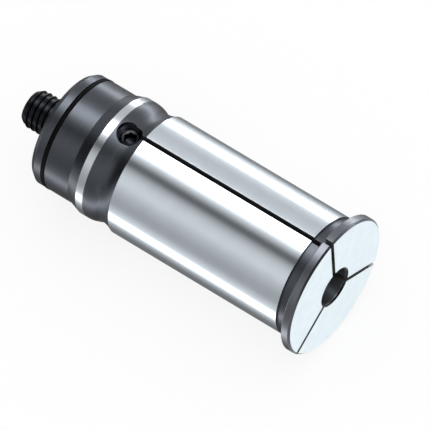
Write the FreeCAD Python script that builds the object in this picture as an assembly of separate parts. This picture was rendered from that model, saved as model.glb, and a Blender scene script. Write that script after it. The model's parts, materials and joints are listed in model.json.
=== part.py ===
import FreeCAD, Part
import math
import os

# Straight collet for a milling chuck, lying on its side.
# Lengths are in millimetres. +X runs along the collet, out of the chuck, and +Z is up.
# The origin is on the axis, in the plane of the flange's seat.
# A turn about the axis is counted in degrees from +Z towards -Y.

# Flange and ground shank
shank_diameter = 32.0
flange_overhang = 2.5
flange_thickness = 2.5
flange_front_chamfer = 0.5
flange_rear_chamfer = 0.2
undercut_width = 3.25
undercut_depth = 0.6
ground_length = 49.7

# Black rear part, listed from the ground shank towards the rear face
neck_depth = 1.0
neck_curve_radius = 8.1
shoulder_radius = 7.5
curve_steps = 5
land_length = 2.05
rear_cone_length = 3.0
rear_step = 1.0
rear_cylinder_length = 11.4
rear_chamfer_depth = 0.9
rear_chamfer_length = 1.2

# Rear seal and its groove
seal_width = 1.15
seal_height = 1.6
seal_chamfer = 0.3
seal_stand_out = 0.1
seal_distance_from_rear = 3.8
groove_clearance = 0.05

# Slots between the jaws and the drilled holes in which they end
jaw_count = 3
slot_width = 1.15
slot_end_hole_diameter = 5.0
slot_end_setback = 4.05

# Bore for the tool's shank
tool_bore_diameter = 10.0
tool_bore_chamfer = 0.45

# Adjusting screw, M10 x 35 with a hexagon socket in each end
adjusting_screw_diameter = 10.0
adjusting_screw_length = 35.0
adjusting_screw_projection = 10.7
adjusting_screw_chamfer_depth = 1.0
adjusting_screw_chamfer_length = 1.5
adjusting_socket_width = 5.0
adjusting_socket_depth = 5.0
adjusting_travel_forward = 10.0
adjusting_thread_length = 16.0
adjusting_thread_countersink = 0.6

# Relieved chamber between the thread and the tool's bore
relief_gap = 2.0
relief_spare_length = 2.6
drill_point_half_angle = 59.0

# Lock screw, M6 x 5, and the soft pad that it presses on the adjusting screw
lock_screw_diameter = 6.0
lock_screw_length = 5.0
lock_screw_chamfer = 0.95
lock_screw_recess = 1.3
lock_socket_width = 3.0
lock_socket_depth = 2.5
lock_hole_turn = 2.5
lock_hole_countersink = 0.1
lock_pad_diameter = 4.8

# Clearances
thread_clearance = 0.05
pad_clearance = 0.1
tool_overrun = 5.0

# Radii and places worked out from the sizes above
shank_radius = shank_diameter / 2
flange_radius = shank_radius + flange_overhang
undercut_radius = shank_radius - undercut_depth
neck_radius = shank_radius - neck_depth
rear_radius = shank_radius - rear_step
tool_bore_radius = tool_bore_diameter / 2
adjusting_screw_radius = adjusting_screw_diameter / 2
adjusting_bore_radius = adjusting_screw_radius + thread_clearance
relief_radius = max(adjusting_screw_radius, tool_bore_radius) + relief_gap
neck_curve_length = math.sqrt(2 * neck_curve_radius * neck_depth - neck_depth ** 2)
shoulder_length = math.sqrt(2 * shoulder_radius * neck_depth - neck_depth ** 2)

front_x = flange_thickness
seat_x = 0.0
ground_front_x = seat_x - undercut_width
ground_rear_x = ground_front_x - ground_length
neck_x = ground_rear_x - neck_curve_length
land_front_x = neck_x - shoulder_length
land_rear_x = land_front_x - land_length
rear_cylinder_front_x = land_rear_x - rear_cone_length
rear_x = rear_cylinder_front_x - rear_cylinder_length
slot_end_x = ground_rear_x - slot_end_setback

adjusting_rear_x = rear_x - adjusting_screw_projection
adjusting_front_x = adjusting_rear_x + adjusting_screw_length
thread_front_x = rear_x + adjusting_thread_length
relief_front_x = adjusting_front_x + adjusting_travel_forward + relief_spare_length
relief_cone_length = (relief_radius - tool_bore_radius) / math.tan(math.radians(drill_point_half_angle))
tool_bore_rear_x = relief_front_x + relief_cone_length

seal_outer_radius = rear_radius + seal_stand_out
seal_inner_radius = seal_outer_radius - seal_height
seal_centre_x = rear_x + seal_distance_from_rear
groove_bottom_radius = seal_inner_radius - groove_clearance
groove_half_width = seal_width / 2 + groove_clearance

lock_screw_top = neck_radius - lock_screw_recess
lock_screw_bottom = lock_screw_top - lock_screw_length
lock_pad_bottom = adjusting_screw_radius + pad_clearance
lock_hole_radius = lock_screw_diameter / 2 + thread_clearance
lock_countersink_radius = lock_hole_radius + lock_hole_countersink

X_AXIS = FreeCAD.Vector(1, 0, 0)
Z_AXIS = FreeCAD.Vector(0, 0, 1)
ORIGIN = FreeCAD.Vector(0, 0, 0)


def point(x, radius):
    """A point of a turned outline, in the plane that holds the axis."""
    return FreeCAD.Vector(x, 0, radius)


def turned(outline):
    """A solid of revolution about the X axis, from the corners of a closed outline."""
    face = Part.Face(Part.makePolygon(outline + [outline[0]]))
    return face.revolve(ORIGIN, X_AXIS, 360)


def about_axis(shape, turn):
    """The shape turned about the collet's axis, from +Z towards -Y."""
    moved = shape.copy()
    moved.rotate(ORIGIN, X_AXIS, turn)
    return moved


def hexagon_prism(width, length):
    """A hexagonal prism along +Z from the origin, as wide across its flats as width."""
    corner_radius = width / math.sqrt(3)
    corners = []
    for index in range(7):
        angle = math.radians(60 * index)
        corners.append(FreeCAD.Vector(corner_radius * math.cos(angle), corner_radius * math.sin(angle), 0))
    return Part.Face(Part.makePolygon(corners)).extrude(Z_AXIS * length)


def screw_blank(diameter, length, chamfer_depth, chamfer_length):
    """A screw's outer form along +Z from the origin, with both ends chamfered."""
    radius = diameter / 2
    end_radius = radius - chamfer_depth
    middle = Part.makeCylinder(radius, length - 2 * chamfer_length, ORIGIN + Z_AXIS * chamfer_length)
    lower_end = Part.makeCone(end_radius, radius, chamfer_length)
    upper_end = Part.makeCone(radius, end_radius, chamfer_length, ORIGIN + Z_AXIS * (length - chamfer_length))
    return middle.fuse([lower_end, upper_end]).removeSplitter()


def along_x(shape, start_x):
    """A shape made along +Z, laid along +X from start_x."""
    moved = shape.copy()
    moved.rotate(ORIGIN, FreeCAD.Vector(0, 1, 0), 90)
    moved.translate(X_AXIS * start_x)
    return moved


def radial(shape, start_radius, turn):
    """A shape made along +Z, standing out from the axis at the slots' ends."""
    moved = shape.copy()
    moved.translate(FreeCAD.Vector(slot_end_x, 0, start_radius))
    return about_axis(moved, turn)


def slot_turns():
    """The turn of each slot. The first is on top."""
    return [360 / jaw_count * index for index in range(jaw_count)]


def neck_outline():
    """The neck as short cones: a hollow arc from the ground shank, then a convex shoulder up to the land."""
    hollow_angle = math.asin(neck_curve_length / neck_curve_radius)
    shoulder_angle = math.asin(shoulder_length / shoulder_radius)
    outline = [point(ground_rear_x, shank_radius)]
    for step in range(1, curve_steps):
        angle = hollow_angle * (1 - step / curve_steps)
        outline.append(point(
            neck_x + neck_curve_radius * math.sin(angle),
            neck_radius + neck_curve_radius * (1 - math.cos(angle)),
        ))
    for step in range(curve_steps + 1):
        angle = shoulder_angle * (1 - step / curve_steps)
        outline.append(point(
            land_front_x + shoulder_radius * math.sin(angle),
            shank_radius - shoulder_radius * (1 - math.cos(angle)),
        ))
    return outline


def rear_outline():
    """The outline of the black rear part, from the ground shank to the rear face and back inside."""
    rear = [
        point(land_rear_x, shank_radius),
        point(rear_cylinder_front_x, rear_radius),
        point(seal_centre_x + groove_half_width, rear_radius),
        point(seal_centre_x + groove_half_width, groove_bottom_radius),
        point(seal_centre_x - groove_half_width, groove_bottom_radius),
        point(seal_centre_x - groove_half_width, rear_radius),
        point(rear_x + rear_chamfer_length, rear_radius),
        point(rear_x, rear_radius - rear_chamfer_depth),
        point(rear_x, adjusting_bore_radius + adjusting_thread_countersink),
        point(rear_x + adjusting_thread_countersink, adjusting_bore_radius),
        point(thread_front_x, adjusting_bore_radius),
        point(thread_front_x, relief_radius),
        point(ground_rear_x, relief_radius),
    ]
    return neck_outline() + rear


def rear_sleeve():
    """The rear of the sleeve: a turned ring with the slots' ends, their holes and the lock screw's hole."""
    reach = shank_radius + tool_overrun
    body = turned(rear_outline())
    cuts = []
    for turn in slot_turns():
        slot = Part.makeBox(
            slot_end_setback + tool_overrun,
            slot_width,
            reach,
            FreeCAD.Vector(slot_end_x, -slot_width / 2, 0),
        )
        cuts.append(about_axis(slot, turn))
    for turn in slot_turns()[1:]:
        hole = Part.makeCylinder(slot_end_hole_diameter / 2, reach)
        cuts.append(radial(hole, 0, turn))
    lock_hole = Part.makeCylinder(lock_hole_radius, reach)
    countersink = Part.makeCone(lock_hole_radius, lock_countersink_radius, lock_hole_countersink)
    mouth = Part.makeCylinder(lock_countersink_radius, tool_overrun)
    cuts.append(radial(lock_hole, 0, lock_hole_turn))
    cuts.append(radial(countersink, neck_radius - lock_hole_countersink, lock_hole_turn))
    cuts.append(radial(mouth, neck_radius, lock_hole_turn))
    return body.cut(cuts)


def jaw_outline():
    """The outline that the jaws share: shank, undercut and flange outside, tool bore and chamber inside."""
    return [
        point(ground_rear_x, relief_radius),
        point(relief_front_x, relief_radius),
        point(tool_bore_rear_x, tool_bore_radius),
        point(front_x - tool_bore_chamfer, tool_bore_radius),
        point(front_x, tool_bore_radius + tool_bore_chamfer),
        point(front_x, flange_radius - flange_front_chamfer),
        point(front_x - flange_front_chamfer, flange_radius),
        point(seat_x + flange_rear_chamfer, flange_radius),
        point(seat_x, flange_radius - flange_rear_chamfer),
        point(seat_x, undercut_radius),
        point(ground_front_x, undercut_radius),
        point(ground_front_x, shank_radius),
        point(ground_rear_x, shank_radius),
    ]


def sector(turn):
    """The space of one jaw between two slots, about the direction that turn gives."""
    half_angle = math.radians(180 / jaw_count)
    reach = flange_radius + tool_overrun
    apex = slot_width / 2 / math.sin(half_angle)
    side = reach / math.cos(half_angle / 2)
    corners = [
        FreeCAD.Vector(ground_rear_x, 0, apex),
        FreeCAD.Vector(ground_rear_x, side * math.sin(half_angle), apex + side * math.cos(half_angle)),
        FreeCAD.Vector(ground_rear_x, 0, apex + 2 * side),
        FreeCAD.Vector(ground_rear_x, -side * math.sin(half_angle), apex + side * math.cos(half_angle)),
        FreeCAD.Vector(ground_rear_x, 0, apex),
    ]
    wedge = Part.Face(Part.makePolygon(corners)).extrude(X_AXIS * (front_x - ground_rear_x))
    return about_axis(wedge, turn)


def jaw(turn):
    """One of the sleeve's spring segments."""
    return turned(jaw_outline()).common(sector(turn))


def seal_ring():
    """The ring in the groove near the rear face, as squeezed by the groove."""
    rear_side = seal_centre_x - seal_width / 2
    front_side = seal_centre_x + seal_width / 2
    shoulder = seal_outer_radius - seal_chamfer
    return turned([
        point(rear_side, seal_inner_radius),
        point(rear_side, shoulder),
        point(rear_side + seal_chamfer, seal_outer_radius),
        point(front_side - seal_chamfer, seal_outer_radius),
        point(front_side, shoulder),
        point(front_side, seal_inner_radius),
    ])


def adjusting_screw():
    """The headless screw on which the tool's end stops, with a socket in each end."""
    blank = screw_blank(
        adjusting_screw_diameter,
        adjusting_screw_length,
        adjusting_screw_chamfer_depth,
        adjusting_screw_chamfer_length,
    )
    rear_socket = hexagon_prism(adjusting_socket_width, adjusting_socket_depth)
    front_socket = rear_socket.copy()
    front_socket.translate(Z_AXIS * (adjusting_screw_length - adjusting_socket_depth))
    return along_x(blank.cut([rear_socket, front_socket]), adjusting_rear_x)


def lock_screw():
    """The small headless screw in the neck, socket outwards."""
    blank = screw_blank(lock_screw_diameter, lock_screw_length, lock_screw_chamfer, lock_screw_chamfer)
    socket = hexagon_prism(lock_socket_width, lock_socket_depth)
    socket.translate(Z_AXIS * (lock_screw_length - lock_socket_depth))
    return radial(blank.cut(socket), lock_screw_bottom, lock_hole_turn)


def lock_pad():
    """The soft pad between the lock screw and the adjusting screw."""
    pad = Part.makeCylinder(lock_pad_diameter / 2, lock_screw_bottom - lock_pad_bottom)
    return radial(pad, lock_pad_bottom, lock_hole_turn)


def export(name, shape):
    """Writes one named piece, and stops if it isn't one sound solid."""
    if not shape.isValid() or len(shape.Solids) != 1:
        raise ValueError(name + " is not one sound solid")
    shape.Solids[0].exportStep(os.path.join("parts", name + ".step"))
    print(name, round(shape.Volume, 1), "mm3")


def main():
    os.makedirs("parts", exist_ok=True)
    export("rear_sleeve", rear_sleeve())
    half_pitch = 180 / jaw_count
    jaw_names = ["jaw_right", "jaw_lower", "jaw_left"]
    for name, slot_turn in zip(jaw_names, slot_turns()):
        export(name, jaw(slot_turn + half_pitch))
    export("seal_ring", seal_ring())
    export("adjusting_screw", adjusting_screw())
    export("lock_screw", lock_screw())
    export("lock_pad", lock_pad())


main()
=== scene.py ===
import json
import math

import bmesh
import bpy
from mathutils import Matrix, Vector


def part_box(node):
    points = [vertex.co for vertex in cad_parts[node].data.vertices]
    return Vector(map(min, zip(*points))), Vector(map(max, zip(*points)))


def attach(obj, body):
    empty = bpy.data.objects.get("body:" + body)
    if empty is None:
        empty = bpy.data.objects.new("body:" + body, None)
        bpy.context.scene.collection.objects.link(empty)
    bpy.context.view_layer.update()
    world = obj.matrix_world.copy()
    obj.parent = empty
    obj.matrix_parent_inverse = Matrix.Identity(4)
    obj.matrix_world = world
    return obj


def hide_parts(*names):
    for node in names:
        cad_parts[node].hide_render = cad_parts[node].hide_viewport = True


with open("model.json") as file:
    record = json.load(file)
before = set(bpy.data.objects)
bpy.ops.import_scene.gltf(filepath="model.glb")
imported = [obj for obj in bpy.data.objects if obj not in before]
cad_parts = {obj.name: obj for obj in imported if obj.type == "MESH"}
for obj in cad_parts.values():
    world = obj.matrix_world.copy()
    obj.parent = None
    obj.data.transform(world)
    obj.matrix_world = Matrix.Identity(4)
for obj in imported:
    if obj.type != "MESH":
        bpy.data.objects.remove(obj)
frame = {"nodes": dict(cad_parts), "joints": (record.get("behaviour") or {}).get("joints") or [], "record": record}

bl_info = {
    "name": "Straight Collet",
    "version": (1, 0, 0),
    "blender": (4, 5, 0),
    "location": "3D View > Sidebar > Collet",
    "description": "Dresses a straight collet on its CAD frame, with threads, sockets, finishes and studio",
    "category": "Object",
}

# Everything is in metres, in the CAD's frame: +X along the collet, out of the chuck, and +Z up.
# A turn about the axis is counted from +Z towards -Y, as in the CAD.
MM = 0.001
FULL_TURN = 2 * math.pi
SLOT_COUNT = 3

# How finely round forms are drawn
SLEEVE_SEGMENTS = 288
SEAL_SEGMENTS = 240
HOLE_SEGMENTS = 96
THREAD_SEGMENTS = 72
SOCKET_SEGMENTS = 48

# How far the sleeve's cutters stand out of it, and the distance at which points of one piece merge
CUTTER_SPARE = 4 * MM
MERGE_DISTANCE = 0.0005 * MM

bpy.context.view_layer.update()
mounts = {mount["name"]: mount for mount in frame["record"]["mounts"]}
joints = {joint["name"]: joint for joint in frame["joints"]}


def mount_reach(name):
    """Where a round mount's wall ends and begins along the axis, and its radius."""
    centre = mounts[name]["pos_m"][0]
    half = mounts[name]["dims"]["length_mm"] * MM / 2
    return centre - half, centre + half, mounts[name]["dims"]["r_mm"] * MM


# Places and radii that the frame gives
ground_rear_x, ground_front_x, shank_radius = mount_reach("shank")
land_rear_x, land_front_x, land_radius = mount_reach("rear_land")
tool_bore_radius = mounts["tool_bore"]["dims"]["r_mm"] * MM
seat_x = mounts["flange_seat"]["pos_m"][0]
front_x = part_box("jaw_lower")[1].x
flange_radius = -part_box("jaw_lower")[0].z
rear_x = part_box("rear_sleeve")[0].x
seal_rear_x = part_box("seal_ring")[0].x
seal_front_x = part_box("seal_ring")[1].x
seal_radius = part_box("seal_ring")[1].z
stud_rear_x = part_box("adjusting_screw")[0].x
stud_front_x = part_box("adjusting_screw")[1].x
stud_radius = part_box("adjusting_screw")[1].y
lock_x = joints["lock_screw_turn"]["pos_m"][0]
lock_direction = Vector(joints["lock_screw_turn"]["axis"])
lock_turn = math.atan2(-lock_direction.y, lock_direction.z)
tool_bore_length = mounts["tool_bore"]["dims"]["length_mm"] * MM


def length(name, description, default):
    """A length that a user may change, shown in the scene's units."""
    return bpy.props.FloatProperty(
        name=name, description=description, default=default, min=0.0, unit="LENGTH", precision=5,
    )


def linear(code):
    """An sRGB hex colour as linear red, green, blue and alpha."""
    channels = [int(code[place:place + 2], 16) / 255 for place in (1, 3, 5)]
    return [c / 12.92 if c <= 0.04045 else ((c + 0.055) / 1.055) ** 2.4 for c in channels] + [1.0]


def colour(name, description, code):
    """A colour that a user may change."""
    return bpy.props.FloatVectorProperty(
        name=name, description=description, default=linear(code), size=4, min=0.0, max=1.0, subtype="COLOR",
    )


class ColletSizes(bpy.types.PropertyGroup):
    """Sizes that the frame's boxes and mounts don't give."""

    slot_width: length("Slot width", "Width of the three slots between the jaws", 1.15 * MM)
    undercut_radius: length("Undercut radius", "Radius of the groove behind the flange", 15.4 * MM)
    flange_front_chamfer: length("Flange front chamfer", "Chamfer round the front face", 0.5 * MM)
    flange_rear_chamfer: length("Flange rear chamfer", "Chamfer round the flange's seat", 0.2 * MM)
    bore_chamfer: length("Bore chamfer", "Chamfer at the mouth of the tool bore", 0.45 * MM)
    relief_radius: length("Relief radius", "Radius of the chamber behind the tool bore", 7.0 * MM)
    relief_front_offset: length("Relief cone", "Length of the cone from the chamber to the bore", 1.2017 * MM)
    neck_radius: length("Neck radius", "Radius of the neck behind the ground shank", 15.0 * MM)
    neck_curve: length("Neck curve", "Radius of the hollow from the ground shank down to the neck", 8.1 * MM)
    shoulder_radius: length("Shoulder radius", "Radius of the convex shoulder before the land", 7.5 * MM)
    rear_cone: length("Rear cone", "Length of the cone behind the land", 3.0 * MM)
    rear_radius: length("Rear radius", "Radius of the black rear cylinder", 15.0 * MM)
    rear_chamfer: length("Rear chamfer", "Radial depth of the rear edge's chamfer", 0.9 * MM)
    rear_chamfer_length: length("Rear chamfer length", "Length of the rear edge's chamfer", 1.2 * MM)
    groove_depth: length("Groove depth", "Depth of the sealing ring's groove", 1.55 * MM)
    groove_gap: length("Groove gap", "Gap on each side of the sealing ring", 0.05 * MM)
    thread_bore_radius: length("Thread bore radius", "Radius of the rear thread's bore", 5.05 * MM)
    thread_bore_length: length("Thread bore length", "Length of the rear thread's bore", 16.0 * MM)
    countersink: length("Countersink", "Countersink at the mouth of the rear thread", 0.6 * MM)
    slot_end_diameter: length("Slot end diameter", "Diameter of the drilled ends of two slots", 5.0 * MM)
    edge_break: length("Edge break", "Width of the small bevel on sharp edges", 0.08 * MM)


class ScrewSizes(bpy.types.PropertyGroup):
    """Sizes of the two headless screws."""

    stud_pitch: length("Stud pitch", "Pitch of the adjusting screw's thread, M10", 1.5 * MM)
    stud_thread_depth: length("Stud thread depth", "Depth of the adjusting screw's thread", 0.45 * MM)
    stud_end_radius: length("Stud end radius", "Radius of the adjusting screw's chamfered ends", 4.0 * MM)
    stud_chamfer: length("Stud chamfer", "Length of the chamfers on the adjusting screw's ends", 1.5 * MM)
    stud_socket: length("Stud socket", "Width across the flats of the adjusting screw's sockets", 5.0 * MM)
    stud_socket_depth: length("Stud socket depth", "Depth of the adjusting screw's sockets", 5.0 * MM)
    stud_socket_mouth: length("Stud socket mouth", "Radius of the sockets' chamfered mouths", 3.06 * MM)
    lock_socket_mouth: length("Lock socket mouth", "Radius of the lock screw's chamfered mouth", 1.98 * MM)
    lock_thread_depth: length("Lock thread depth", "Depth of the lock screw's thread", 0.61 * MM)
    lock_radius: length("Lock screw radius", "Radius of the lock screw, M6", 3.0 * MM)
    lock_length: length("Lock screw length", "Length of the lock screw", 5.0 * MM)
    lock_pitch: length("Lock screw pitch", "Pitch of the lock screw's thread", 1.0 * MM)
    lock_chamfer: length("Lock screw chamfer", "Chamfer on the lock screw's ends", 0.95 * MM)
    lock_recess: length("Lock screw recess", "How far the lock screw's face lies below the neck", 1.3 * MM)
    lock_socket: length("Lock screw socket", "Width across the flats of the lock screw's socket", 3.0 * MM)
    lock_socket_depth: length("Lock screw socket depth", "Depth of the lock screw's socket", 2.5 * MM)
    hole_clearance: length("Hole clearance", "Radial clearance of the lock screw in its hole", 0.05 * MM)
    hole_countersink: length("Hole countersink", "Countersink of the lock screw's hole", 0.1 * MM)


class ColletColours(bpy.types.PropertyGroup):
    """Colours of the finishes."""

    ground_steel: colour("Ground steel", "Cylindrically ground shank", "#e2e9f0")
    land_steel: colour("Land steel", "Ground land on the rear part", "#d4d7dc")
    lapped_steel: colour("Lapped steel", "Front face", "#ecf8ff")
    rim_steel: colour("Rim steel", "Turned and thinly blackened rim of the flange", "#74767c")
    black_oxide: colour("Black oxide", "Turned and blackened rear part and undercut", "#55585e")
    sawn_steel: colour("Sawn steel", "Walls of the slots and the drilled holes", "#8f8e8e")
    bored_steel: colour("Bored steel", "Wall of the tool bore", "#a4a8ac")
    screw_steel: colour("Screw steel", "Rolled thread of the two screws", "#25262a")
    rubber: colour("Nitrile rubber", "Sealing ring", "#050506")
    brass: colour("Brass", "Lock pad", "#c9a660")
    floor: colour("Floor", "Studio floor", "#ffffff")


def sizes():
    return bpy.context.scene.collet_sizes


def screws():
    return bpy.context.scene.collet_screws


def colours():
    return bpy.context.scene.collet_colours


# Materials

def add_node(tree, kind, settings=None, inputs=None):
    """A node of that kind with its settings. An input is a value, or a socket that is linked to it."""
    node = tree.nodes.new(kind)
    for name, value in (settings or {}).items():
        setattr(node, name, value)
    for name, value in (inputs or {}).items():
        if isinstance(value, bpy.types.NodeSocket):
            tree.links.new(value, node.inputs[name])
        else:
            node.inputs[name].default_value = value
    return node


def new_material(name):
    """An empty material, with its tree and its output node."""
    material = bpy.data.materials.new(name)
    material.use_nodes = True
    material.node_tree.nodes.clear()
    return material, material.node_tree, add_node(material.node_tree, "ShaderNodeOutputMaterial")


def mottled(tree, position, code, spread, grain):
    """A colour that varies a little in soft patches, one patch to each grain's length."""
    noise = add_node(tree, "ShaderNodeTexNoise", inputs={
        "Vector": position, "Scale": 1 / grain, "Detail": 3.0,
    })
    ramp = add_node(tree, "ShaderNodeValToRGB", inputs={"Fac": noise.outputs["Fac"]})
    low, high = ramp.color_ramp.elements
    low.position, high.position = 0.3, 0.7
    low.color = [channel * (1 - spread) for channel in code[:3]] + [1.0]
    high.color = [min(1.0, channel * (1 + spread)) for channel in code[:3]] + [1.0]
    return ramp.outputs["Color"]


def ring_lines(tree, position, spacing):
    """A height that changes along the axis alone, as turning or grinding leaves it."""
    split = add_node(tree, "ShaderNodeSeparateXYZ", inputs={"Vector": position})
    along = add_node(tree, "ShaderNodeCombineXYZ", inputs={"X": split.outputs["X"]})
    noise = add_node(tree, "ShaderNodeTexNoise", inputs={
        "Vector": along.outputs["Vector"], "Scale": 1 / spacing, "Detail": 2.0,
    })
    return noise.outputs["Fac"]


def metal(name, code, roughness, lines=None, depth=0.0, spread=0.04, grain=4 * MM):
    """A bare or blackened steel surface with its tool marks."""
    material, tree, output = new_material(name)
    position = add_node(tree, "ShaderNodeTexCoord").outputs["Object"]
    tint = mottled(tree, position, code, spread, grain)
    settings = {"Base Color": tint, "Metallic": 1.0, "Roughness": roughness}
    if lines:
        height = ring_lines(tree, position, lines)
        bump = add_node(tree, "ShaderNodeBump", inputs={"Height": height, "Distance": depth, "Strength": 1.0})
        settings["Normal"] = bump.outputs["Normal"]
    shader = add_node(tree, "ShaderNodeBsdfPrincipled", inputs=settings)
    tree.links.new(shader.outputs["BSDF"], output.inputs["Surface"])
    return material


def ground_steel():
    """Hardened steel, cylindrically ground: nearly a mirror across the axis, with fine rings round it."""
    # The wheel leaves rings about 0.03 mm apart. They are drawn 0.4 mm apart, so that they show.
    return metal("ground_hardened_steel", colours().ground_steel, 0.17, 0.4 * MM, 0.15e-6, 0.02)


def land_steel():
    """The same steel on the rear land, ground more coarsely: greyer, with softer reflections."""
    return metal("ground_rear_land", colours().land_steel, 0.2, 0.4 * MM, 0.15e-6, 0.03)


def lapped_steel():
    """The same steel, faced and lapped: pale and even, with a soft sheen and no clear reflection."""
    return metal("lapped_front_face", colours().lapped_steel, 0.38, spread=0.03, grain=3 * MM)


def rim_steel():
    """Turned rim under a thin, worn black oxide: mid grey with soft streaks of light."""
    return metal("turned_flange_rim", colours().rim_steel, 0.3, 0.2 * MM, 0.2e-6, 0.06)


def black_oxide():
    """Turned steel, blackened in a hot oxide bath: dark blue-grey, with a soft satin shine."""
    # Turning leaves rings about 0.1 mm apart. They are drawn 0.25 mm apart, so that they show.
    return metal("black_oxide_turned_steel", colours().black_oxide, 0.31, 0.25 * MM, 0.3e-6, 0.06)


def sawn_steel():
    """Sawn and drilled walls, half blackened: dull grey, without a clear reflection."""
    return metal("sawn_slot_wall", colours().sawn_steel, 0.5, spread=0.15, grain=0.8 * MM)


def bored_steel():
    """Reamed and honed wall of the tool bore: bright grey, slightly uneven."""
    return metal("honed_tool_bore", colours().bored_steel, 0.35, spread=0.05, grain=2 * MM)


def screw_steel():
    """Rolled thread under black oxide: smooth and oily, nearly black, with small sharp highlights."""
    return metal("rolled_thread_black_oxide", colours().screw_steel, 0.28, spread=0.1, grain=1 * MM)


def nitrile_rubber():
    """Moulded nitrile rubber: deep black, slightly dull."""
    material, tree, output = new_material("moulded_nitrile_rubber")
    position = add_node(tree, "ShaderNodeTexCoord").outputs["Object"]
    tint = mottled(tree, position, colours().rubber, 0.2, 1 * MM)
    noise = add_node(tree, "ShaderNodeTexNoise", inputs={"Vector": position, "Scale": 1 / (0.15 * MM)})
    bump = add_node(tree, "ShaderNodeBump", inputs={"Height": noise.outputs["Fac"], "Distance": 1e-6})
    shader = add_node(tree, "ShaderNodeBsdfPrincipled", inputs={
        "Base Color": tint, "Roughness": 0.55, "Specular IOR Level": 0.06, "Normal": bump.outputs["Normal"],
    })
    tree.links.new(shader.outputs["BSDF"], output.inputs["Surface"])
    return material


def turned_brass():
    """Turned brass bar: warm yellow, slightly uneven."""
    return metal("turned_brass", colours().brass, 0.3, spread=0.05, grain=1 * MM)


def finish(name):
    """The material of that name, made once."""
    makers = {
        "ground": ground_steel, "land": land_steel, "lapped": lapped_steel, "rim": rim_steel,
        "oxide": black_oxide, "sawn": sawn_steel, "bored": bored_steel, "screw": screw_steel,
        "rubber": nitrile_rubber, "brass": turned_brass,
    }
    made = bpy.context.scene.get("collet_finishes", {})
    if name not in made:
        made = dict(made)
        made[name] = makers[name]().name
        bpy.context.scene["collet_finishes"] = made
    return bpy.data.materials[made[name]]


# Shapes

def ring_point(x, radius, turn):
    """A point of the collet at that place, radius and turn."""
    return Vector((x, -radius * math.sin(turn), radius * math.cos(turn)))


def mesh_object(name, shape, finishes):
    """An object from a bmesh, with its normals outwards and one material for each finish."""
    bmesh.ops.remove_doubles(shape, verts=shape.verts, dist=MERGE_DISTANCE)
    bmesh.ops.recalc_face_normals(shape, faces=shape.faces)
    mesh = bpy.data.meshes.new(name)
    shape.to_mesh(mesh)
    shape.free()
    for key in finishes:
        mesh.materials.append(finish(key))
    piece = bpy.data.objects.new(name, mesh)
    bpy.context.scene.collection.objects.link(piece)
    return piece


def turned(name, outline, segments):
    """A solid of revolution about the X axis.

    The outline is closed. Each of its points gives x, the radius and the finish up to the next point.
    """
    finishes = sorted({key for _, _, key in outline})
    shape = bmesh.new()
    rings = []
    for x, radius, _ in outline:
        count = segments if radius > 0 else 1
        ring = [shape.verts.new(ring_point(x, radius, FULL_TURN * k / count)) for k in range(count)]
        rings.append(ring * (segments // count))
    for place, (_, _, key) in enumerate(outline):
        here, ahead = rings[place], rings[(place + 1) % len(rings)]
        if here[0] is here[-1] and ahead[0] is ahead[-1]:
            continue
        for k in range(segments):
            corners = [here[k], ahead[k], ahead[(k + 1) % segments], here[(k + 1) % segments]]
            face = shape.faces.new(list(dict.fromkeys(corners)))
            face.material_index = finishes.index(key)
    return mesh_object(name, shape, finishes)


def box(name, low, high, key):
    """A cutter with straight sides."""
    shape = bmesh.new()
    bmesh.ops.create_cube(shape, size=1.0)
    middle = (Vector(low) + Vector(high)) / 2
    for vertex in shape.verts:
        vertex.co = middle + vertex.co * (Vector(high) - Vector(low))
    return mesh_object(name, shape, [key])


def hexagon(name, width, x_low, x_high, key):
    """A hexagonal cutter along the X axis, as wide across its flats as width."""
    corner = width / math.sqrt(3)
    return turned(name, [(x_low, 0, key), (x_low, corner, key), (x_high, corner, key), (x_high, 0, key)], 6)


def moved(piece, matrix):
    """The piece with that move applied to its mesh."""
    piece.data.transform(matrix)
    return piece


def about_axis(piece, turn):
    """The piece turned about the collet's axis, from +Z towards -Y."""
    return moved(piece, Matrix.Rotation(turn, 4, "X"))


def stand_out(piece, start_radius, turn):
    """A piece made along +X, stood on the axis at the slots' ends so that it points outwards."""
    upright = Matrix.Translation((lock_x, 0, start_radius)) @ Matrix.Rotation(-math.pi / 2, 4, "Y")
    return moved(piece, Matrix.Rotation(turn, 4, "X") @ upright)


def evaluated(piece):
    """The piece with its modifiers applied, so that it is a plain mesh."""
    bpy.context.view_layer.update()
    graph = bpy.context.evaluated_depsgraph_get()
    mesh = bpy.data.meshes.new_from_object(piece.evaluated_get(graph), depsgraph=graph)
    piece.modifiers.clear()
    piece.data = mesh
    return piece


def cut(piece, cutters):
    """The piece less its cutters, whose finish stays on the walls that they leave."""
    for cutter in cutters:
        boolean = piece.modifiers.new("cut", "BOOLEAN")
        boolean.object = cutter
        boolean.operation = "DIFFERENCE"
        boolean.solver = "EXACT"
        boolean.material_mode = "TRANSFER"
    evaluated(piece)
    for cutter in cutters:
        bpy.data.objects.remove(cutter)
    return piece


def eased(piece):
    """Smooth shading, with a small bevel on every sharp edge, as a deburred part has."""
    for polygon in piece.data.polygons:
        polygon.use_smooth = True
    bevel = piece.modifiers.new("edge_break", "BEVEL")
    bevel.width = sizes().edge_break
    bevel.segments = 2
    bevel.limit_method = "ANGLE"
    bevel.angle_limit = math.radians(15)
    bevel.harden_normals = True
    return piece


def dressed(piece, body, slot, *nodes):
    """The finished piece on its body, in place of those nodes."""
    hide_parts(*nodes)
    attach(piece, body)
    return piece


# Threads

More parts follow.
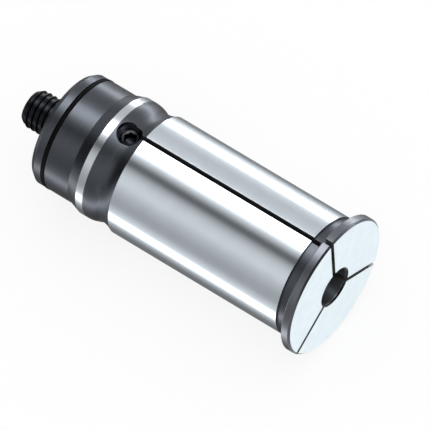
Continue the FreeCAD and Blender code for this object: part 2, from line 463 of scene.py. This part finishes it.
def thread_tree():
    """A screw's blank with a rolled thread along +Z, from its sizes. The thread is right-handed."""
    tree = bpy.data.node_groups.new("rolled_thread", "GeometryNodeTree")
    interface = tree.interface
    for name in ("Major Radius", "Pitch", "Thread Depth", "Length", "End Radius", "Chamfer Length"):
        interface.new_socket(name, in_out="INPUT", socket_type="NodeSocketFloat")
    interface.new_socket("Segments", in_out="INPUT", socket_type="NodeSocketInt")
    interface.new_socket("Material", in_out="INPUT", socket_type="NodeSocketMaterial")
    interface.new_socket("Geometry", in_out="OUTPUT", socket_type="NodeSocketGeometry")
    given = add_node(tree, "NodeGroupInput").outputs

    def calc(operation, first, second=0.0):
        return add_node(tree, "ShaderNodeMath", {"operation": operation}, {0: first, 1: second}).outputs[0]

    profile_steps = 16
    weld = 0.001 * MM
    turns = calc("ADD", calc("CEIL", calc("DIVIDE", given["Length"], given["Pitch"])), 1.0)
    columns = calc("ADD", calc("MULTIPLY", turns, given["Segments"]), 1.0)
    grid = add_node(tree, "GeometryNodeMeshGrid", inputs={
        "Size X": 1.0, "Size Y": 1.0, "Vertices X": columns, "Vertices Y": profile_steps + 1,
    })
    position = add_node(tree, "GeometryNodeInputPosition").outputs[0]
    place = add_node(tree, "ShaderNodeSeparateXYZ", inputs={"Vector": position})
    turn = calc("MULTIPLY", calc("ADD", place.outputs["X"], 0.5), turns)
    across = calc("ADD", place.outputs["Y"], 0.5)
    angle = calc("MULTIPLY", turn, FULL_TURN)
    free = calc("MULTIPLY", calc("ADD", calc("SUBTRACT", turn, 1.0), across), given["Pitch"])
    height = calc("MINIMUM", calc("MAXIMUM", free, 0.0), given["Length"])

    # The metric profile: a crest an eighth of the pitch wide, 30 degree flanks and a flat root at that depth
    from_crest = calc("MULTIPLY", calc("ABSOLUTE", place.outputs["Y"]), given["Pitch"])
    flank = calc("SUBTRACT", from_crest, calc("MULTIPLY", given["Pitch"], 1 / 16))
    drop = calc("DIVIDE", calc("MAXIMUM", flank, 0.0), math.tan(math.radians(30)))
    thread = calc("SUBTRACT", given["Major Radius"], calc("MINIMUM", drop, given["Thread Depth"]))
    chamfer_depth = calc("SUBTRACT", given["Major Radius"], given["End Radius"])
    slope = calc("DIVIDE", chamfer_depth, given["Chamfer Length"])
    from_end = calc("MINIMUM", height, calc("SUBTRACT", given["Length"], height))
    chamfer = calc("ADD", given["End Radius"], calc("MULTIPLY", from_end, slope))
    radius = calc("MINIMUM", thread, chamfer)

    wound = add_node(tree, "ShaderNodeCombineXYZ", inputs={
        "X": calc("MULTIPLY", radius, calc("COSINE", angle)),
        "Y": calc("MULTIPLY", radius, calc("SINE", angle)),
        "Z": height,
    })
    flank_mesh = add_node(tree, "GeometryNodeSetPosition", inputs={
        "Geometry": grid.outputs["Mesh"], "Position": wound.outputs["Vector"],
    })
    end = add_node(tree, "GeometryNodeMeshCircle", {"fill_type": "NGON"}, {
        "Vertices": given["Segments"], "Radius": given["End Radius"],
    })
    lower = add_node(tree, "GeometryNodeFlipFaces", inputs={"Mesh": end.outputs["Mesh"]})
    top_place = add_node(tree, "ShaderNodeCombineXYZ", inputs={"Z": given["Length"]})
    upper = add_node(tree, "GeometryNodeTransform", inputs={
        "Geometry": end.outputs["Mesh"], "Translation": top_place.outputs["Vector"],
    })
    joined = add_node(tree, "GeometryNodeJoinGeometry")
    for part in (flank_mesh.outputs["Geometry"], lower.outputs["Mesh"], upper.outputs["Geometry"]):
        tree.links.new(part, joined.inputs["Geometry"])
    merged = add_node(tree, "GeometryNodeMergeByDistance", inputs={
        "Geometry": joined.outputs["Geometry"], "Distance": weld,
    })
    realized = add_node(tree, "GeometryNodeRealizeInstances", inputs={"Geometry": merged.outputs["Geometry"]})
    painted = add_node(tree, "GeometryNodeSetMaterial", inputs={
        "Geometry": realized.outputs["Geometry"], "Material": given["Material"],
    })
    add_node(tree, "NodeGroupOutput", inputs={"Geometry": painted.outputs["Geometry"]})
    return tree


def threaded_rod(name, key, values):
    """A threaded blank along +X from the origin."""
    tree = bpy.data.node_groups.get("rolled_thread") or thread_tree()
    rod = bpy.data.objects.new(name, bpy.data.meshes.new(name))
    bpy.context.scene.collection.objects.link(rod)
    modifier = rod.modifiers.new("thread", "NODES")
    modifier.node_group = tree
    identifiers = {item.name: item.identifier for item in tree.interface.items_tree if item.in_out == "INPUT"}
    for label, value in values.items():
        modifier[identifiers[label]] = value
    modifier[identifiers["Material"]] = finish(key)
    evaluated(rod)
    return moved(rod, Matrix.Rotation(math.pi / 2, 4, "Y"))


def socket_cutters(width, depth, mouth, face_x, inwards, key="screw"):
    """Cutters for a hexagon socket: the hexagon, its drill point and its mouth's chamfer.

    The mouth is the chamfer's radius at the face. The key is the finish put on the chamfer: the screw's own, or a
    lighter one as a painted highlight.
    """
    spare = 1 * MM
    overlap = 0.1 * MM
    point_slope = math.tan(math.radians(30))
    point_x = face_x + inwards * (depth + width / 2 * point_slope)
    out_x = face_x - inwards * spare
    bottom_x = face_x + inwards * depth
    hexagonal = hexagon("socket", width, *sorted((out_x, bottom_x)), "screw")
    drill = turned("drill_point", [
        (bottom_x - inwards * overlap, 0, "screw"), (bottom_x - inwards * overlap, width / 2, "screw"),
        (bottom_x, width / 2, "screw"), (point_x, 0, "screw"),
    ], SOCKET_SEGMENTS)
    chamfer = turned("chamfer", [
        (out_x, 0, key), (out_x, mouth + spare, key), (face_x + inwards * mouth, 0, key),
    ], SOCKET_SEGMENTS)
    return [hexagonal, drill, chamfer]


# The collet's pieces

def neck_outline(steps=14):
    """The neck: a hollow arc down from the ground shank, then a convex shoulder up to the land."""
    size = sizes()
    drop = shank_radius - size.neck_radius
    hollow, shoulder = size.neck_curve, size.shoulder_radius
    hollow_angle = math.acos(1 - drop / hollow)
    shoulder_angle = math.acos(1 - drop / shoulder)
    neck_x = ground_rear_x - hollow * math.sin(hollow_angle)
    outline = []
    for step in range(steps):
        angle = hollow_angle * (1 - step / steps)
        place = neck_x + hollow * math.sin(angle)
        outline.append((place, shank_radius - drop + hollow * (1 - math.cos(angle)), "oxide"))
    for step in range(steps + 1):
        angle = shoulder_angle * (1 - step / steps)
        place = land_front_x + shoulder * math.sin(angle)
        outline.append((place, shank_radius - shoulder * (1 - math.cos(angle)), "oxide"))
    outline[-1] = (land_front_x, shank_radius, "land")
    return outline


class COLLET_OT_rear_sleeve(bpy.types.Operator):
    """Makes the black rear sleeve with its land, groove, slot ends and tapped hole"""

    bl_idname = "collet.rear_sleeve"
    bl_label = "Rear sleeve"

    def execute(self, context):
        size, screw = sizes(), screws()
        groove_low = seal_rear_x - size.groove_gap
        groove_high = seal_front_x + size.groove_gap
        groove_bottom = size.rear_radius - size.groove_depth
        thread_front_x = rear_x + size.thread_bore_length
        outline = neck_outline() + [
            (land_rear_x, shank_radius, "oxide"),
            (land_rear_x - size.rear_cone, size.rear_radius, "oxide"),
            (groove_high, size.rear_radius, "screw"),
            (groove_high, groove_bottom, "screw"),
            (groove_low, groove_bottom, "screw"),
            (groove_low, size.rear_radius, "oxide"),
            (rear_x + size.rear_chamfer_length, size.rear_radius, "oxide"),
            (rear_x, size.rear_radius - size.rear_chamfer, "oxide"),
            (rear_x, size.thread_bore_radius + size.countersink, "screw"),
            (rear_x + size.countersink, size.thread_bore_radius, "screw"),
            (thread_front_x, size.thread_bore_radius, "sawn"),
            (thread_front_x, size.relief_radius, "sawn"),
            (ground_rear_x, size.relief_radius, "sawn"),
        ]
        sleeve = turned("rear_sleeve_body", outline, SLEEVE_SEGMENTS)
        reach = shank_radius + CUTTER_SPARE
        cutters = []
        for index in range(SLOT_COUNT):
            turn = FULL_TURN * index / SLOT_COUNT
            low = (lock_x, -size.slot_width / 2, 0)
            high = (ground_rear_x + CUTTER_SPARE, size.slot_width / 2, reach)
            cutters.append(about_axis(box("slot", low, high, "sawn"), turn))
            # The first slot ends in the lock screw's hole, so only the others have a drilled end
            if index > 0:
                radius = size.slot_end_diameter / 2
                drill = turned("drill", [
                    (0, 0, "sawn"), (0, radius, "sawn"), (reach, radius, "sawn"), (reach, 0, "sawn"),
                ], HOLE_SEGMENTS)
                cutters.append(stand_out(drill, 0, turn))
        screw_bottom = size.neck_radius - screw.lock_recess - screw.lock_length
        # The tap starts inside the chamber and ends outside the neck
        pitches_below, pitches = 3, 14
        tap_bottom = screw_bottom - pitches_below * screw.lock_pitch
        tap_chamfer = 0.3 * MM
        tap_radius = screw.lock_radius + screw.hole_clearance
        tap = threaded_rod("tap", "screw", {
            "Major Radius": tap_radius, "Pitch": screw.lock_pitch, "Thread Depth": screw.lock_thread_depth,
            "Length": pitches * screw.lock_pitch, "End Radius": tap_radius - screw.lock_thread_depth,
            "Chamfer Length": tap_chamfer, "Segments": THREAD_SEGMENTS,
        })
        cutters.append(stand_out(tap, tap_bottom, lock_turn))
        mouth = tap_radius + screw.hole_countersink
        inner = tap_radius - screw.lock_pitch
        countersink = turned("countersink", [
            (inner - mouth, 0, "screw"), (inner - mouth, inner, "screw"), (0, mouth, "screw"),
            (CUTTER_SPARE, mouth, "screw"), (CUTTER_SPARE, 0, "screw"),
        ], HOLE_SEGMENTS)
        cutters.append(stand_out(countersink, size.neck_radius, lock_turn))
        cut(sleeve, cutters)
        dressed(eased(sleeve), "sleeve", "black_oxide_steel", "rear_sleeve")
        return {"FINISHED"}


def jaw_outline():
    """The outline that the jaws share: x, radius and the finish up to the next point."""
    size = sizes()
    bore_front_x = front_x - size.bore_chamfer
    bore_rear_x = bore_front_x - tool_bore_length
    relief_front_x = bore_rear_x - size.relief_front_offset
    return [
        (ground_rear_x, size.relief_radius, "sawn"),
        (relief_front_x, size.relief_radius, "sawn"),
        (bore_rear_x, tool_bore_radius, "bored"),
        # The bore's mouth chamfer takes the screws' near-black steel as painted shade, so that the mouth reads
        # dark
        (bore_front_x, tool_bore_radius, "screw"),
        (front_x, tool_bore_radius + size.bore_chamfer, "lapped"),
        (front_x, flange_radius - size.flange_front_chamfer, "oxide"),
        (front_x - size.flange_front_chamfer, flange_radius, "rim"),
        (seat_x + size.flange_rear_chamfer, flange_radius, "rim"),
        (seat_x, flange_radius - size.flange_rear_chamfer, "oxide"),
        (seat_x, size.undercut_radius, "oxide"),
        (ground_front_x, size.undercut_radius, "oxide"),
        (ground_front_x, shank_radius, "ground"),
        (ground_rear_x, shank_radius, "sawn"),
    ]


def jaw(name, middle_turn, steps=72):
    """One spring segment: the jaws' outline swept between two slots whose walls are flat and parallel."""
    outline = jaw_outline()
    finishes = sorted({key for _, _, key in outline})
    half_slot = sizes().slot_width / 2
    shape = bmesh.new()
    rows = []
    for x, radius, _ in outline:
        half_angle = FULL_TURN / (2 * SLOT_COUNT) - math.asin(half_slot / radius)
        turns = [middle_turn + half_angle * (2 * step / steps - 1) for step in range(steps + 1)]
        rows.append([shape.verts.new(ring_point(x, radius, turn)) for turn in turns])
    for place, (_, _, key) in enumerate(outline):
        here, ahead = rows[place], rows[(place + 1) % len(rows)]
        for step in range(steps):
            face = shape.faces.new([here[step], ahead[step], ahead[step + 1], here[step + 1]])
            face.material_index = finishes.index(key)
    for side in (0, -1):
        wall = shape.faces.new([row[side] for row in rows])
        wall.material_index = finishes.index("sawn")
    return mesh_object(name, shape, finishes)


class COLLET_OT_jaws(bpy.types.Operator):
    """Makes the three spring jaws with the ground shank, the undercut, the flange and the bore"""

    bl_idname = "collet.jaws"
    bl_label = "Jaws"

    def execute(self, context):
        for index, body in enumerate(("jaw_right", "jaw_lower", "jaw_left")):
            segment = jaw(body + "_segment", FULL_TURN * (index + 0.5) / SLOT_COUNT)
            dressed(eased(segment), body, "ground_steel", body)
        return {"FINISHED"}


class COLLET_OT_seal_ring(bpy.types.Operator):
    """Makes the sealing ring with its rounded outer side"""

    bl_idname = "collet.seal_ring"
    bl_label = "Sealing ring"

    def execute(self, context):
        middle_x = (seal_rear_x + seal_front_x) / 2
        half = (seal_front_x - seal_rear_x) / 2
        inner = sizes().rear_radius - sizes().groove_depth + sizes().groove_gap
        middle_radius = (seal_radius + inner) / 2
        tall = (seal_radius - inner) / 2
        steps = 32
        # The exponent squares the ring's section a little, as its groove does
        squareness = 0.7
        outline = []
        for step in range(steps):
            angle = FULL_TURN * step / steps
            across = math.copysign(abs(math.cos(angle)) ** squareness, math.cos(angle))
            up = math.copysign(abs(math.sin(angle)) ** squareness, math.sin(angle))
            outline.append((middle_x + half * across, middle_radius + tall * up, "rubber"))
        ring = turned("seal_ring_moulded", outline, SEAL_SEGMENTS)
        for polygon in ring.data.polygons:
            polygon.use_smooth = True
        dressed(ring, "sleeve", "nitrile_rubber", "seal_ring")
        return {"FINISHED"}


class COLLET_OT_adjusting_screw(bpy.types.Operator):
    """Makes the adjusting screw with its rolled thread and a hexagon socket in each end"""

    bl_idname = "collet.adjusting_screw"
    bl_label = "Adjusting screw"

    def execute(self, context):
        screw = screws()
        span = stud_front_x - stud_rear_x
        rod = threaded_rod("adjusting_screw_threaded", "screw", {
            "Major Radius": stud_radius, "Pitch": screw.stud_pitch, "Thread Depth": screw.stud_thread_depth,
            "Length": span, "End Radius": screw.stud_end_radius,
            "Chamfer Length": screw.stud_chamfer, "Segments": THREAD_SEGMENTS,
        })
        socket = (screw.stud_socket, screw.stud_socket_depth, screw.stud_socket_mouth)
        cut(rod, socket_cutters(*socket, 0, 1) + socket_cutters(*socket, span, -1))
        moved(rod, Matrix.Translation((stud_rear_x, 0, 0)))
        dressed(rod, "adjusting_screw", "screw_steel", "adjusting_screw")
        shade_by_angle(rod)
        return {"FINISHED"}


def shade_by_angle(piece):
    """Smooth shading with the edges over 30 degrees kept sharp."""
    for polygon in piece.data.polygons:
        polygon.use_smooth = True
    piece.data.set_sharp_from_angle(angle=math.radians(30))


class COLLET_OT_lock_screw(bpy.types.Operator):
    """Makes the headless lock screw in the neck, with its thread and its socket"""

    bl_idname = "collet.lock_screw"
    bl_label = "Lock screw"

    def execute(self, context):
        screw = screws()
        rod = threaded_rod("lock_screw_threaded", "screw", {
            "Major Radius": screw.lock_radius, "Pitch": screw.lock_pitch,
            "Thread Depth": screw.lock_thread_depth, "Length": screw.lock_length,
            "End Radius": screw.lock_radius - screw.lock_chamfer,
            "Chamfer Length": screw.lock_chamfer, "Segments": THREAD_SEGMENTS,
        })
        socket = (screw.lock_socket, screw.lock_socket_depth, screw.lock_socket_mouth)
        # The socket's mouth chamfer takes the lighter rim steel: a painted highlight, so that it shows as a bright
        # C
        cut(rod, socket_cutters(*socket, screw.lock_length, -1, "rim"))
        bottom = sizes().neck_radius - screw.lock_recess - screw.lock_length
        stand_out(rod, bottom, lock_turn)
        shade_by_angle(rod)
        dressed(rod, "lock_screw", "screw_steel", "lock_screw")
        return {"FINISHED"}


class COLLET_OT_lock_pad(bpy.types.Operator):
    """Gives the lock pad, which stays the CAD's own solid, its brass"""

    bl_idname = "collet.lock_pad"
    bl_label = "Lock pad"

    def execute(self, context):
        pad = frame["nodes"]["lock_pad"]
        pad.data.materials.clear()
        pad.data.materials.append(finish("brass"))
        return {"FINISHED"}


# Studio

def emission(name, ramp_input, stops):
    """A glowing card whose brightness follows a ramp of place and grey level."""
    material, tree, output = new_material(name)
    position = add_node(tree, "ShaderNodeTexCoord").outputs["Object"]
    split = add_node(tree, "ShaderNodeSeparateXYZ", inputs={"Vector": position})
    low, high = stops[0][0], stops[-1][0]
    value = ramp_input(tree, split)
    share = add_node(tree, "ShaderNodeMapRange", inputs={0: value, 1: low, 2: high, 3: 0.0, 4: 1.0})
    ramp = add_node(tree, "ShaderNodeValToRGB", inputs={"Fac": share.outputs[0]})
    strongest = max(level for _, level in stops)
    elements = ramp.color_ramp.elements
    while len(elements) < len(stops):
        elements.new(0.5)
    for element, (place, level) in zip(elements, stops):
        element.position = (place - low) / (high - low)
        grey = level / strongest
        element.color = (grey * 0.97, grey * 0.99, grey, 1.0)
    glow = add_node(tree, "ShaderNodeEmission", inputs={
        "Color": ramp.outputs["Color"], "Strength": strongest,
    })
    tree.links.new(glow.outputs["Emission"], output.inputs["Surface"])
    return material


def turn_about_axis(tree, split):
    """The turn of a point about the X axis, in degrees from +Z towards -Y."""
    flipped = add_node(tree, "ShaderNodeMath", {"operation": "MULTIPLY"}, {0: split.outputs["Y"], 1: -1.0})
    angle = add_node(tree, "ShaderNodeMath", {"operation": "ARCTAN2"}, {
        0: flipped.outputs[0], 1: split.outputs["Z"],
    })
    return add_node(tree, "ShaderNodeMath", {"operation": "DEGREES"}, {0: angle.outputs[0]}).outputs[0]


def across_floor(tree, split):
    """The place of a point across the collet, in millimetres."""
    place = add_node(tree, "ShaderNodeMath", {"operation": "DIVIDE"}, {0: split.outputs["Y"], 1: MM})
    return place.outputs[0]


def card(name, shape, material):
    """A reflection card. Only reflections see it: it hides nothing from the camera and casts no shadow."""
    mesh = bpy.data.meshes.new(name)
    shape.to_mesh(mesh)
    shape.free()
    mesh.materials.append(material)
    made = bpy.data.objects.new(name, mesh)
    bpy.context.scene.collection.objects.link(made)
    made.visible_camera = False
    made.visible_diffuse = False
    made.visible_transmission = False
    made.visible_shadow = False


# Sizes of the studio, each card's place along the axis and the floor's own glow in the camera's view
TENT_RADIUS = 400 * MM
TENT_REAR_X = -700 * MM
TENT_FRONT_X = 300 * MM
REAR_CARD_X = -350 * MM
REAR_CARD_RADIUS = 398 * MM
FRONT_CARD_X = 600 * MM
FRONT_CARD_RADIUS = 420 * MM
UNDERLAY_FRONT_X = -1 * MM
UNDERLAY_LIFT = 0.05 * MM
FLOOR_REACH = 0.9
FLOOR_GLOW = 0.85

# Brightness of the light tent by turn in degrees, with its strip lamps and the dark gap at the camera
TENT_STOPS = [
    (-100, 9.0), (-90, 6.5), (-75, 0.85), (-56, 0.6), (-40, 0.66), (-27, 0.75), (-21, 4.0), (-4, 4.0),
    (5, 0.9), (20, 0.115), (27, 0.105), (34, 0.42), (46, 0.71), (60, 0.78), (76, 0.56), (92, 0.42), (100, 0.42),
]
# Brightness of the cards that close the tent, by turn in degrees
REAR_CARD_STOPS = [
    (-100, 0.3), (-60, 0.45), (-30, 0.6), (-5, 0.65), (12, 0.1), (22, 0.01), (40, 0.01), (60, 0.05),
    (100, 0.1),
]
FRONT_CARD_STOPS = [(-90, 0.06), (90, 0.06)]
# Brightness of the underlay by place across the collet in millimetres: a painted reflection of the floor, bright
# where the floor is lit and dark near the middle, where the collet's shadow is painted
UNDERLAY_STOPS = [
    (-400, 0.42), (-90, 0.42), (-64, 0.6), (-44, 0.8), (-34, 3.6), (-26.5, 0.6), (-19, 0.2), (0, 0.1),
    (20, 0.16), (52, 0.28), (80, 0.7), (130, 1.15), (400, 1.25),
]


class COLLET_OT_studio(bpy.types.Operator):
    """Makes the floor, the light tent with its cards, the world and the camera"""

    bl_idname = "collet.studio"
    bl_label = "Studio"

    floor_margin = 0.02 * MM

    def execute(self, context):
        self.floor()
        self.tent()
        self.underlay()
        self.end_card("rear_card", REAR_CARD_X, REAR_CARD_RADIUS, REAR_CARD_STOPS)
        self.end_card("front_card", FRONT_CARD_X, FRONT_CARD_RADIUS, FRONT_CARD_STOPS)
        self.world(context.scene)
        self.camera(context.scene)
        return {"FINISHED"}

    def resting_plane(self):
        """The matrix of the plane on which the collet lies, on its flange and on its land."""
        front = Vector((seat_x + sizes().flange_rear_chamfer, 0, -flange_radius))
        rear = Vector((land_rear_x, 0, -land_radius))
        tilt = math.atan2(rear.z - front.z, front.x - rear.x)
        below = Matrix.Translation((0, 0, -self.floor_margin))
        return below @ Matrix.Translation(front) @ Matrix.Rotation(tilt, 4, "Y")

    def sheet(self, x_low, x_high, y_low, y_high, lift):
        """A flat sheet in the plane on which the collet lies."""
        shape = bmesh.new()
        corners = [(x_low, y_low), (x_high, y_low), (x_high, y_high), (x_low, y_high)]
        shape.faces.new([shape.verts.new(self.resting_plane() @ Vector((x, y, lift))) for x, y in corners])
        return shape

    def floor(self):
        material, tree, output = new_material("pale_studio_floor")
        path = add_node(tree, "ShaderNodeLightPath")
        seen = add_node(tree, "ShaderNodeMath", {"operation": "MAXIMUM"}, {
            0: path.outputs["Is Camera Ray"], 1: path.outputs["Is Glossy Ray"],
        })
        seen = add_node(tree, "ShaderNodeMath", {"operation": "MAXIMUM"}, {
            0: seen.outputs[0], 1: path.outputs["Is Transmission Ray"],
        })
        glow = add_node(tree, "ShaderNodeEmission", inputs={"Color": colours().floor, "Strength": 1.0})
        paper = add_node(tree, "ShaderNodeBsdfDiffuse", inputs={"Color": colours().floor})
        share = add_node(tree, "ShaderNodeMath", {"operation": "MULTIPLY"}, {
            0: seen.outputs[0], 1: FLOOR_GLOW,
        })
        mix = add_node(tree, "ShaderNodeMixShader", inputs={
            0: share.outputs[0], 1: paper.outputs["BSDF"], 2: glow.outputs["Emission"],
        })
        tree.links.new(mix.outputs["Shader"], output.inputs["Surface"])
        mesh = bpy.data.meshes.new("studio_floor")
        shape = self.sheet(-FLOOR_REACH, FLOOR_REACH, -FLOOR_REACH, FLOOR_REACH, 0)
        shape.to_mesh(mesh)
        shape.free()
        mesh.materials.append(material)
        floor = bpy.data.objects.new("studio_floor", mesh)
        bpy.context.scene.collection.objects.link(floor)

    def tent(self):
        steps = 96
        low, high = math.radians(TENT_STOPS[0][0]), math.radians(TENT_STOPS[-1][0])
        shape = bmesh.new()
        rows = []
        for step in range(steps + 1):
            turn = low + (high - low) * step / steps
            ends = (TENT_REAR_X, TENT_FRONT_X)
            rows.append([shape.verts.new(ring_point(x, TENT_RADIUS, turn)) for x in ends])
        for here, ahead in zip(rows, rows[1:]):
            shape.faces.new([here[0], here[1], ahead[1], ahead[0]])
        card("light_tent", shape, emission("light_tent_cloth", turn_about_axis, TENT_STOPS))

    def underlay(self):
        # Only reflections see this sheet: it paints the floor's reflection, with the collet's shadow painted dark
        # under it
        shape = self.sheet(TENT_REAR_X, UNDERLAY_FRONT_X, -TENT_RADIUS, TENT_RADIUS, UNDERLAY_LIFT)
        card("underlay_card", shape, emission("underlay_painted_floor_and_shadow", across_floor, UNDERLAY_STOPS))

    def end_card(self, name, x, radius, stops):
        """A card across the axis, which the faces that look along it reflect."""
        low, high = math.radians(stops[0][0]), math.radians(stops[-1][0])
        steps = 24
        shape = bmesh.new()
        corners = [ring_point(x, radius, low + (high - low) * step / steps) for step in range(steps + 1)]
        shape.faces.new([shape.verts.new(corner) for corner in corners])
        card(name, shape, emission(name + "_paper", turn_about_axis, stops))

    def world(self, scene):
        world = bpy.data.worlds.new("white_studio")
        scene.world = world
        world.use_nodes = True
        tree = world.node_tree
        tree.nodes.clear()
        output = add_node(tree, "ShaderNodeOutputWorld")
        sky = add_node(tree, "ShaderNodeBackground", inputs={"Color": (1, 1, 1, 1), "Strength": 1.0})
        tree.links.new(sky.outputs["Background"], output.inputs["Surface"])

    def camera(self, scene):
        # The photograph's view, read from the collet's own ellipses and edges
        back = Vector((0.35, -0.41796, 0.83829)).normalized()
        axis_in_view = Vector((1, 0, 0)) - back * back.x
        axis_in_view.normalize()
        across_in_view = back.cross(axis_in_view)
        roll = math.radians(30.87)
        right = axis_in_view * math.cos(roll) + across_in_view * math.sin(roll)
        up = back.cross(right)
        frame_width = 102.19 * MM
        aim_along, aim_across = -30.92 * MM, 0.131 * MM
        aim = axis_in_view * aim_along + across_in_view * aim_across
        camera_data = bpy.data.cameras.new("studio_camera")
        camera_data.sensor_width = 36.0
        camera_data.lens = 1000.0
        distance = frame_width * camera_data.lens / camera_data.sensor_width
        camera_data.clip_start = 0.1
        camera_data.clip_end = 2 * distance
        camera = bpy.data.objects.new("studio_camera", camera_data)
        scene.collection.objects.link(camera)
        facing = Matrix((right, up, back)).transposed().to_4x4()
        camera.matrix_world = Matrix.Translation(aim + back * distance) @ facing
        scene.camera = camera
        scene.view_settings.view_transform = "Standard"


class COLLET_PT_panel(bpy.types.Panel):
    """The collet's pieces in the sidebar"""

    bl_idname = "COLLET_PT_panel"
    bl_label = "Straight Collet"
    bl_space_type = "VIEW_3D"
    bl_region_type = "UI"
    bl_category = "Collet"

    def draw(self, context):
        for operator in OPERATORS:
            self.layout.operator(operator.bl_idname)
        for group in (sizes(), screws(), colours()):
            for name in group.bl_rna.properties.keys():
                if name not in ("rna_type", "name"):
                    self.layout.prop(group, name)


GROUPS = (ColletSizes, ScrewSizes, ColletColours)
OPERATORS = (
    COLLET_OT_rear_sleeve, COLLET_OT_jaws, COLLET_OT_seal_ring, COLLET_OT_adjusting_screw,
    COLLET_OT_lock_screw, COLLET_OT_lock_pad, COLLET_OT_studio,
)


def register():
    for kind in GROUPS + OPERATORS + (COLLET_PT_panel,):
        bpy.utils.register_class(kind)
    bpy.types.Scene.collet_sizes = bpy.props.PointerProperty(type=ColletSizes)
    bpy.types.Scene.collet_screws = bpy.props.PointerProperty(type=ScrewSizes)
    bpy.types.Scene.collet_colours = bpy.props.PointerProperty(type=ColletColours)


def unregister():
    del bpy.types.Scene.collet_sizes
    del bpy.types.Scene.collet_screws
    del bpy.types.Scene.collet_colours
    for kind in reversed(GROUPS + OPERATORS + (COLLET_PT_panel,)):
        bpy.utils.unregister_class(kind)


def main():
    register()
    bpy.ops.collet.rear_sleeve()
    bpy.ops.collet.jaws()
    bpy.ops.collet.seal_ring()
    bpy.ops.collet.adjusting_screw()
    bpy.ops.collet.lock_screw()
    bpy.ops.collet.lock_pad()
    bpy.ops.collet.studio()


if __name__ == "__main__":
    main()
